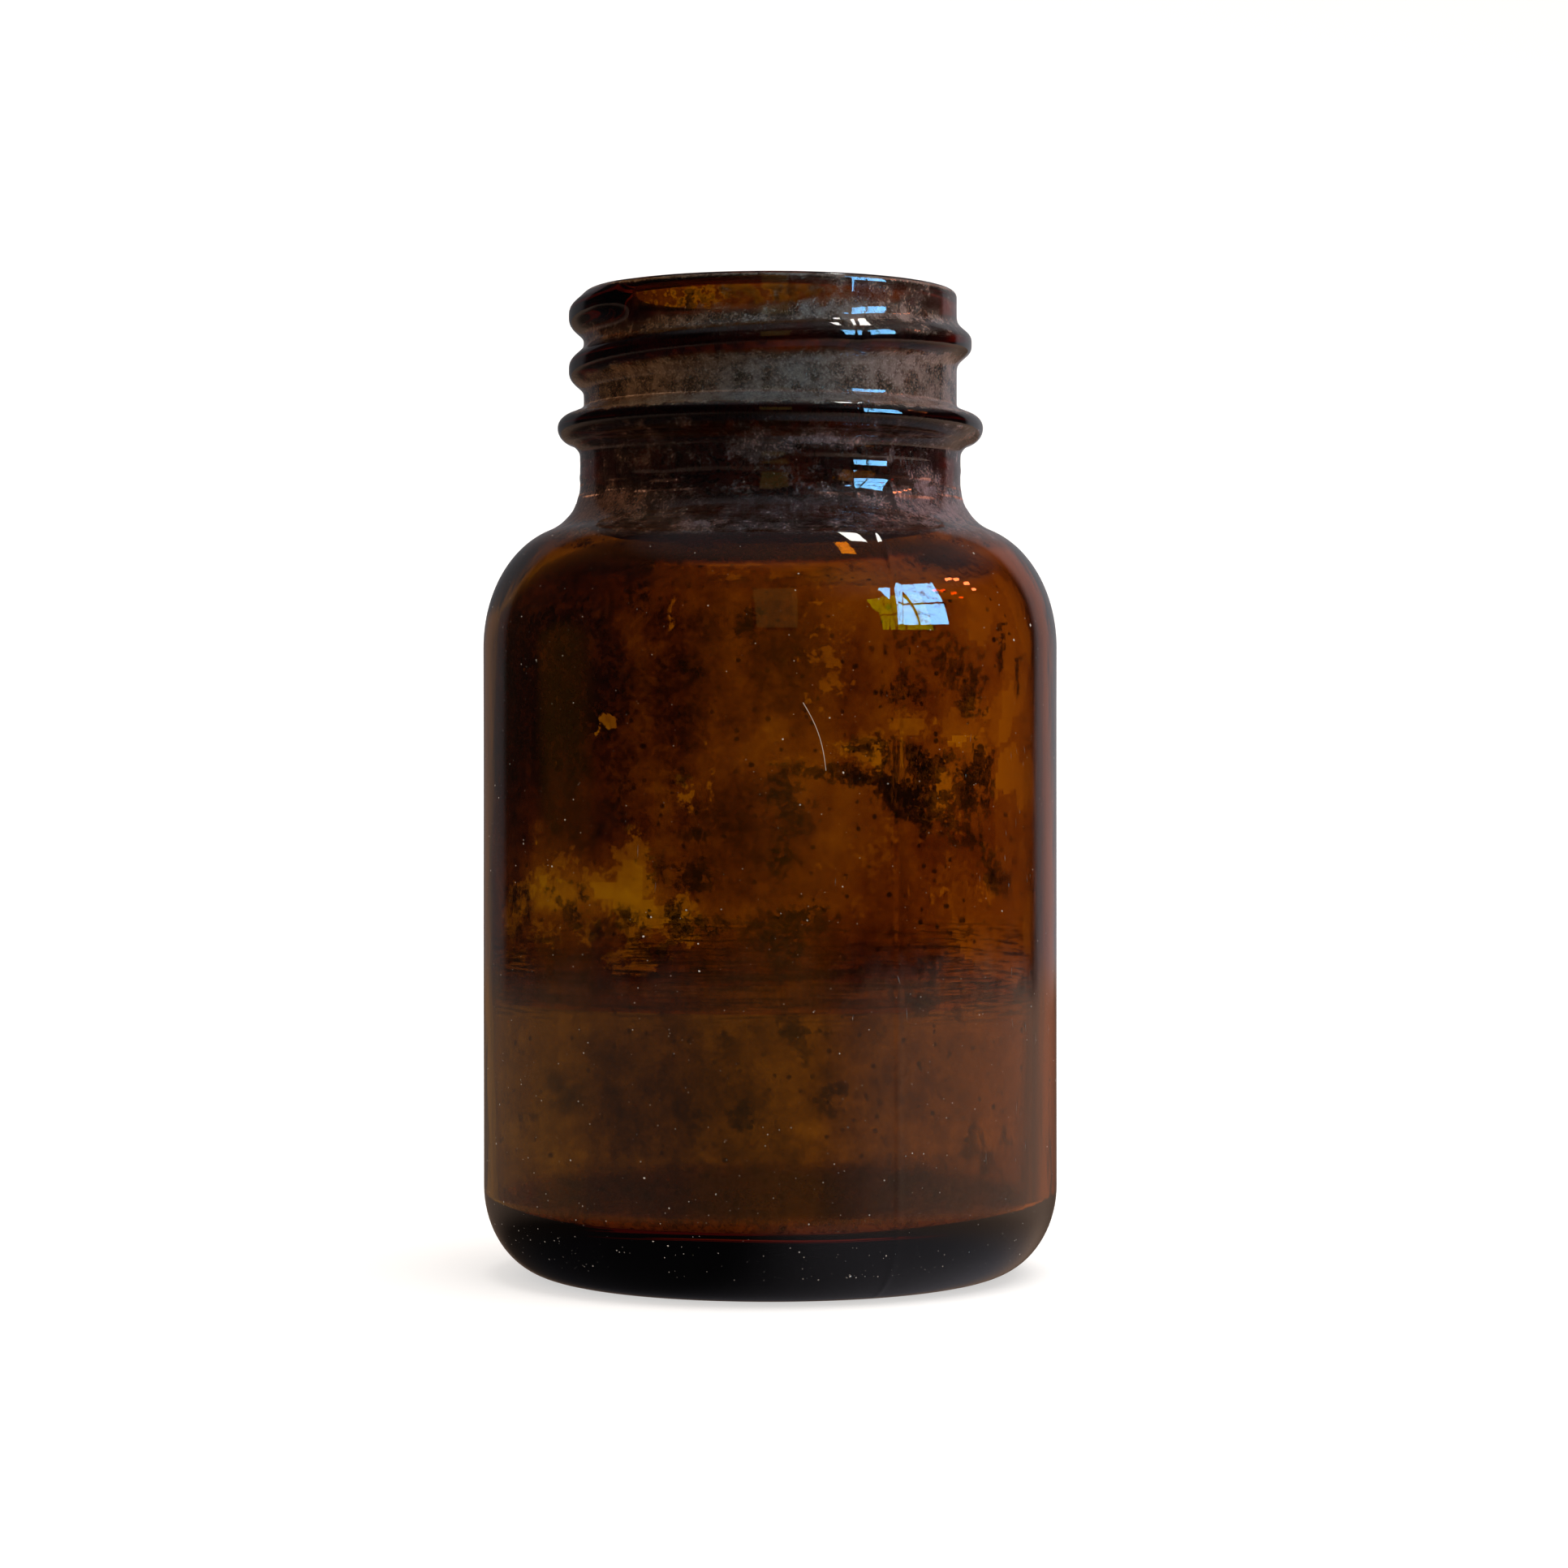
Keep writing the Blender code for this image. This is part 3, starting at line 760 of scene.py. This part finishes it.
def dark_dots(s):
    """Small dots, in a third of the cells of a fine cell pattern."""
    cells = s.add("TexVoronoi", {"Vector": s.place(), "Scale": 900.0})
    chosen = s.math("GREATER_THAN", s.add("SeparateXYZ", {0: cells.outputs["Color"]}), 0.66)
    return s.math("MULTIPLY", s.ramp(cells.outputs["Distance"], 0.26, 0.14, 0.0, 0.70), chosen)


def stain_cover(s, ragged, grain, bare):
    """How dense the soft stain is: mottled where it is thin, even where it is thick."""
    amount = s.value_of("stain")
    mottle = s.math("MULTIPLY_ADD", ragged, 3.0, s.math("MULTIPLY_ADD", grain, 2.4, -1.7))
    mottle = s.math("MINIMUM", s.math("MAXIMUM", mottle, 0.25), 1.45)
    # In the neck, where the stain is painted shade, it is kept even.
    even = s.math("MAXIMUM", s.value_of("neck"), s.math("MULTIPLY", amount, 0.70))
    stain = s.math("MULTIPLY", amount, s.number_between(even, mottle, 1.0))
    stain = s.math("MULTIPLY", stain, s.ramp(grain, 0.42, 0.60, 1.12, 0.74))
    return s.math("MULTIPLY", stain, s.ramp(bare, 0, 1, 1.0, 0.30, False))


def residue_colour(s, height, thin, ragged, grain):
    """The thin residue's colour, which changes with height, with darker blotches and grains."""
    colour = s.blend(s.ramp(height, 0.0300, 0.0240), thin, TIDE_COLOUR)
    colour = s.blend(s.ramp(height, 0.0200, 0.0170), colour, thin)
    colour = s.blend(s.ramp(height, 0.0135, 0.0095), colour, LOW_COLOUR)
    colour = s.blend(s.ramp(height, 0.0072, 0.0060), colour, FLOOR_COLOUR)
    colour = s.blend(s.ramp(ragged, 0.40, 0.60, 0.0, 0.5), colour, BLACK)
    return s.blend(s.ramp(grain, 0.46, 0.62, 0.0, 0.45), colour, BLACK)


def film_material(name, thin, thick, tint, shift):
    """Dried residue: a soft stain with thick dark flakes, ragged where it has come away.

    Thin and thick are the residue's colours, and tint is what it does to light that passes it.
    """
    s = new_material(name)
    ragged = s.noise(400, 8, 0.72, (1, 1, 1), shift)
    grain = s.noise(1700, 4, 0.65, (1, 1, 1), shift + 0.3)
    broken = s.math("MULTIPLY_ADD", grain, 3.4, s.math("MULTIPLY_ADD", ragged, 5.2, -4.3))
    height = s.place_along(2)
    bare = torn(s, s.math("MULTIPLY", s.value_of("bare"), 0.76), broken, 0.47, 0.50)
    flake = torn(s, s.value_of("flake"), broken, 0.44, 0.60)
    stain = stain_cover(s, ragged, grain, bare)
    flakes = s.math("MULTIPLY", flake, s.ramp(grain, 0.35, 0.65, 0.90, 0.45))
    dots = s.math("MULTIPLY", dark_dots(s), s.ramp(bare, 0, 1, 1.0, 0.2, False))
    dark = s.math("MAXIMUM", s.math("MAXIMUM", flakes, tide_streaks(s, height, shift + 0.7)), dots)
    cover = s.math("MINIMUM", s.math("MAXIMUM", stain, dark), 0.97)
    alpha = s.math("MULTIPLY", cover, s.value_of("fade"))
    colour = s.blend(dark, residue_colour(s, height, thin, ragged, grain), thick)
    bump = s.add("Bump", {"Strength": 0.4, "Distance": 0.0001, "Height": ragged})
    solid = s.add("BsdfPrincipled", {"Base Color": colour, "Roughness": 0.85, "Normal": bump,
                                     "Specular IOR Level": 0.1})
    clear = s.add("BsdfTransparent", {"Color": s.blend(stain, WHITE, tint)})
    s.feed(s.output.inputs["Surface"], s.add("MixShader", {0: alpha, 1: clear, 2: solid}))
    return s.owner


def dust_and_side_light_material(name, seed, tint):
    """Grey-brown dust in grains that thin out to bare glass, with painted side light in its colour: darker
    and greyer at the front and back, lighter and redder on the flanks, bluer on the right.
    """
    s = new_material(name)
    shift = 0.01 * seed
    patch = s.noise(700, 7, 0.65, (1, 1, 1), shift)
    grain = s.noise(5200, 3, 0.6, (1, 1, 1), shift)
    level = s.math("MULTIPLY_ADD", patch, 0.9, s.math("MULTIPLY", grain, 0.55))
    level = s.math("ADD", level, s.math("MULTIPLY", s.value_of("cover"), 0.75))
    haze = s.ramp(s.value_of("cover"), 0.12, 0.5, 0.02, 0.22)
    alpha = s.math("MAXIMUM", s.ramp(level, 0.86, 1.30, 0.0, 0.95), haze)
    colour = s.blend(s.ramp(patch, 0.35, 0.65), (0.160, 0.100, 0.062, 1), (0.320, 0.240, 0.178, 1))
    colour = s.blend(s.ramp(grain, 0.5, 0.75), colour, (0.46, 0.385, 0.31, 1))
    # Painted side light: the colour is scaled by the place across the bottle, lighter and redder towards the
    # left and right flanks, bluer on the right, darker and greyer at the front and back.
    x = s.place_along(0)
    aside = s.blend(s.ramp(x, -0.012, 0.012), (1.75, 1.25, 0.85, 1), (1.9, 1.25, 1.1, 1))
    aside = s.blend(s.ramp(s.math("ABSOLUTE", x), 0.002, 0.012), (0.88, 0.84, 0.86, 1), aside)
    colour = s.tinted(s.tinted(colour, aside), tint)
    bump = s.add("Bump", {"Strength": 0.6, "Distance": 0.0001, "Height": grain})
    shader = s.add("BsdfPrincipled", {"Base Color": colour, "Roughness": 1.0, "Alpha": alpha, "Normal": bump,
                                      "Specular IOR Level": 0.1})
    s.feed(s.output.inputs["Surface"], shader)
    return s.owner


def speck_material():
    """Pale lint and grit."""
    s = new_material("pale_grit")
    colour = s.blend(s.noise(900, 3), (0.30, 0.27, 0.23, 1), (0.80, 0.76, 0.70, 1))
    shader = s.add("BsdfPrincipled", {"Base Color": colour, "Roughness": 0.9})
    s.feed(s.output.inputs["Surface"], shader)
    return s.owner


# ---------------------------------------------------------------- studio

PANEL_DISTANCE = 0.5
CAMERA_PLACE, CAMERA_TARGET = (0, -0.3065, 0.0409), (0.00109, 0, 0.03865)
CAMERA_LENS = 88.8


def make_stage():
    """A pale floor that turns up into a backdrop all round, seen by the camera only."""
    radius, bend, top = 1.1, 0.35, 1.5
    outline = np.vstack([[[0.0, 0.0]], straight((0.0, 0.0), (radius - bend, 0.0), 6),
                         arc(radius - bend, bend, bend, bend, -90, 0, 14),
                         [[radius, top]]])
    degrees = np.arange(0, 360, 5.0)
    rings = polar(np.maximum(outline[:, :1], 0.001), np.radians(degrees)[None, :], outline[:, 1:])
    s = new_material("pale_stage")
    diffuse = s.add("BsdfDiffuse", {"Color": (0.5, 0.5, 0.495, 1)})
    glow = s.add("Emission", {"Color": (1.0, 1.0, 0.995, 1), "Strength": 0.55})
    s.feed(s.output.inputs["Surface"], s.add("AddShader", {0: diffuse, 1: glow}))
    stage = add_mesh("pale_stage", rings, ring_faces(len(rings), len(degrees)), s.owner)
    stage.visible_glossy = False
    stage.visible_transmission = False
    stage.visible_diffuse = False
    stage.visible_shadow = False
    return stage


def make_world():
    """A dim room with a lit wall behind the bottle and a brown table top round it.

    The outside of the glass mirrors this room. What is seen through the glass is a soft glow, brighter on
    the right and darker towards the corners, and the camera sees plain white past the stage.
    """
    world = bpy.data.worlds.new("studio")
    bpy.context.scene.world = world
    s = Shader(world, "ShaderNodeOutputWorld")
    place = s.add("TexCoord").outputs["Generated"]
    axis = s.add("SeparateXYZ", {0: place})
    x, y, z = axis.outputs[0], axis.outputs[1], axis.outputs[2]
    uneven = s.add("TexNoise", {"Vector": place, "Scale": 3.0, "Detail": 4.0})
    wavy = s.math("MULTIPLY_ADD", uneven, 0.02, -0.01)

    # Mirrored room: the wall behind, the ceiling and the table top, greyer near the bottle.
    wall = s.math("MULTIPLY", s.ramp(y, 0.62, 0.72), s.ramp(x, -0.4, 0.5, 0.09, 0.30))
    ceiling = s.math("MULTIPLY", s.ramp(x, 0.2, 0.7, 0.02, 0.25), s.ramp(z, 0.40, 0.72))
    room = s.math("ADD", wall, 0.012)
    room = s.math("MAXIMUM", room, s.math("MAXIMUM", ceiling, s.ramp(z, 0.76, 0.95, 0.0, 0.16)))
    table = s.math("ADD", s.ramp(x, 0.25, 1.0, 0.07, 0.38), s.ramp(x, -0.9, -0.2, 0.05, 0.0))
    near = s.ramp(x, -0.3, 0.6, 0.02, 0.22)
    table = s.number_between(s.ramp(z, -0.16, -0.34), table, near)
    on_table = s.ramp(s.math("ADD", z, wavy), -0.050, -0.066)
    tint = s.blend(on_table, (0.97, 0.94, 1.0, 1), (1.95, 1.32, 1.0, 1))
    tint = s.blend(s.ramp(z, -0.25, -0.60), tint, (1.20, 1.12, 1.25, 1))
    mirrored = s.add("Background", {"Color": tint, "Strength": s.number_between(on_table, room, table)})

    # What is seen through the glass.
    aside = s.math("ABSOLUTE", x)
    corner = s.math("MULTIPLY", s.ramp(aside, 0.32, 0.62, 0.0, 0.9), s.ramp(aside, 0.94, 0.995, 1.0, 0.0))
    corner = s.math("MULTIPLY", corner, s.ramp(z, -0.24, -0.16))
    level = s.math("MULTIPLY", s.math("SUBTRACT", 1.0, corner), s.ramp(z, -0.70, -0.40, 0.3, 1.0))
    wall_glow = s.number_between(s.ramp(aside, 0.6, 0.9), s.ramp(x, -0.35, 0.35, 0.27, 0.68), 0.26)
    glow = s.math("MULTIPLY", level, wall_glow)
    through = s.add("Background", {"Color": (1.0, 0.90, 0.8, 1), "Strength": glow})

    # What lights the residue and the dust, and what each kind of ray sees.
    diffuse = s.add("Background", {"Color": (1.0, 0.88, 0.80, 1), "Strength": s.ramp(x, -1, 1, 0.80, 1.15)})
    white = s.add("Background", {"Color": (0.92, 0.92, 0.92, 1), "Strength": 1.0})
    path = s.add("LightPath")
    mix = s.add("MixShader", {0: path.outputs["Is Glossy Ray"], 1: diffuse, 2: mirrored})
    mix = s.add("MixShader", {0: path.outputs["Is Transmission Ray"], 1: mix, 2: through})
    mix = s.add("MixShader", {0: path.outputs["Is Camera Ray"], 1: mix, 2: white})
    s.feed(s.output.inputs["Surface"], mix)


def aimed(item, direction, distance, target=(0, 0, 0.045)):
    """Put an object at a distance in a direction from the bottle, with its -Z towards it."""
    way = Vector(direction).normalized()
    item.location = Vector(target) + way * distance
    item.rotation_mode = "QUATERNION"
    item.rotation_quaternion = way.to_track_quat("Z", "Y")


def make_panel(name, direction, distance, panes, colour, strength, mottle):
    """Lit panes for the glass to mirror, such as a window with its glazing bars, unseen by the camera.

    Each pane is its left, right, bottom and top edge in metres from the panel's middle. The mottle dims
    the panes in patches, as a view of trees would.
    """
    s = new_material(name)
    view = s.noise(28, 5, 0.6)
    level = s.math("MULTIPLY", s.ramp(view, 0.5 - mottle, 0.5, 0.25 if mottle else 1.0, 1.0), strength)
    s.feed(s.output.inputs["Surface"], s.add("Emission", {"Color": (*colour, 1), "Strength": level}))
    vertices, faces = [], []
    for left, right, bottom, top in panes:
        first = len(vertices)
        vertices += [(left, bottom, 0), (right, bottom, 0), (right, top, 0), (left, top, 0)]
        faces.append([first, first + 3, first + 2, first + 1])
    panel = add_mesh(name, vertices, faces, s.owner)
    aimed(panel, direction, distance)
    panel.visible_camera = False
    panel.visible_diffuse = False
    panel.visible_shadow = False


def make_lights(stage):
    """A window on the right, a ceiling lamp, warm lamps, a pale card and the stage's own light."""
    half, bar, post = 0.108, 0.0048, -0.02
    panes = [(left, right, bottom, top) for left, right in ((-0.106, post - bar), (post + bar, 0.104))
             for bottom, top in ((-half, -bar), (bar, half))]
    make_panel("window", (0.811, -0.424, 0.398), PANEL_DISTANCE, panes, (0.20, 0.56, 1.0), 25.0, 0.16)
    lamp = [(-0.055, 0.055, -0.016, 0.016)]
    make_panel("ceiling_lamp", (0.300, 0.153, 0.940), PANEL_DISTANCE, lamp, (1.0, 0.96, 0.9), 18.0, 0)
    warm = [(-0.040, -0.012, -0.012, 0.0), (-0.006, 0.014, -0.022, -0.010), (0.018, 0.040, -0.050, -0.038),
            (0.030, 0.052, -0.080, -0.070)]
    make_panel("warm_lamps", (0.813, 0.021, 0.583), PANEL_DISTANCE, warm, (1.0, 0.20, 0.06), 40.0, 0)
    card = [(-0.07, 0.07, -0.095, 0.15)]
    make_panel("card", (0.04, -0.933, 0.358), PANEL_DISTANCE, card, (0.30, 0.21, 0.06), 1.0, 0)
    sun = bpy.data.lights.new("stage_light", "SUN")
    sun.energy = 1.9
    sun.angle = math.radians(50)
    item = bpy.data.objects.new("stage_light", sun)
    bpy.context.scene.collection.objects.link(item)
    aimed(item, (0.25, -0.15, 1.0), 2.0)
    only = bpy.data.collections.new("lit_by_stage_light")
    only.objects.link(stage)
    item.light_linking.receiver_collection = only


def make_camera():
    """The photograph's viewpoint: level with the body's upper half, about 0.3 m away."""
    data = bpy.data.cameras.new("camera")
    data.sensor_width = 36
    data.lens = CAMERA_LENS
    data.clip_start = 0.01
    item = bpy.data.objects.new("camera", data)
    bpy.context.scene.collection.objects.link(item)
    place = Vector(CAMERA_PLACE)
    item.location = place
    item.rotation_mode = "QUATERNION"
    item.rotation_quaternion = (Vector(CAMERA_TARGET) - place).to_track_quat("-Z", "Y")
    bpy.context.scene.camera = item


def main():
    make_camera()
    make_world()
    make_lights(make_stage())
    make_glass()
    dark = film_material("dark_stain_and_neck_shade", thin=(0.078, 0.014, 0.006, 1), thick=(0.030, 0.018, 0.010, 1),
                         tint=(1.0, 0.45, 0.35, 1), shift=0.0)
    make_film("dark_stain_and_neck_shade", True, dark, "dark_residue", "upper_residue_film")
    brown = film_material("brown_stain", thin=(0.103, 0.050, 0.027, 1), thick=(0.035, 0.020, 0.013, 1),
                          tint=(1.0, 0.76, 0.66, 1), shift=5.0)
    make_film("brown_stain", False, brown, "brown_residue", "lower_residue_film")
    make_dust("upper_groove_dust", 68.0 * MM, 77.42 * MM, upper_groove_cover, 0.10 * MM, 51,
              "upper_groove_crust")
    make_dust("lower_groove_dust", 66.5 * MM, 75.0 * MM, lower_groove_cover, 0.10 * MM, 52,
              "lower_groove_crust")
    make_dust("neck_corner_dust", 57.2 * MM, 66.4 * MM, neck_corner_cover, 0.12 * MM, 53,
              "neck_corner_crust", (0.95, 0.84, 0.98, 1))
    make_specks()
    make_lint()
    bpy.context.scene.view_settings.view_transform = "Standard"


main()
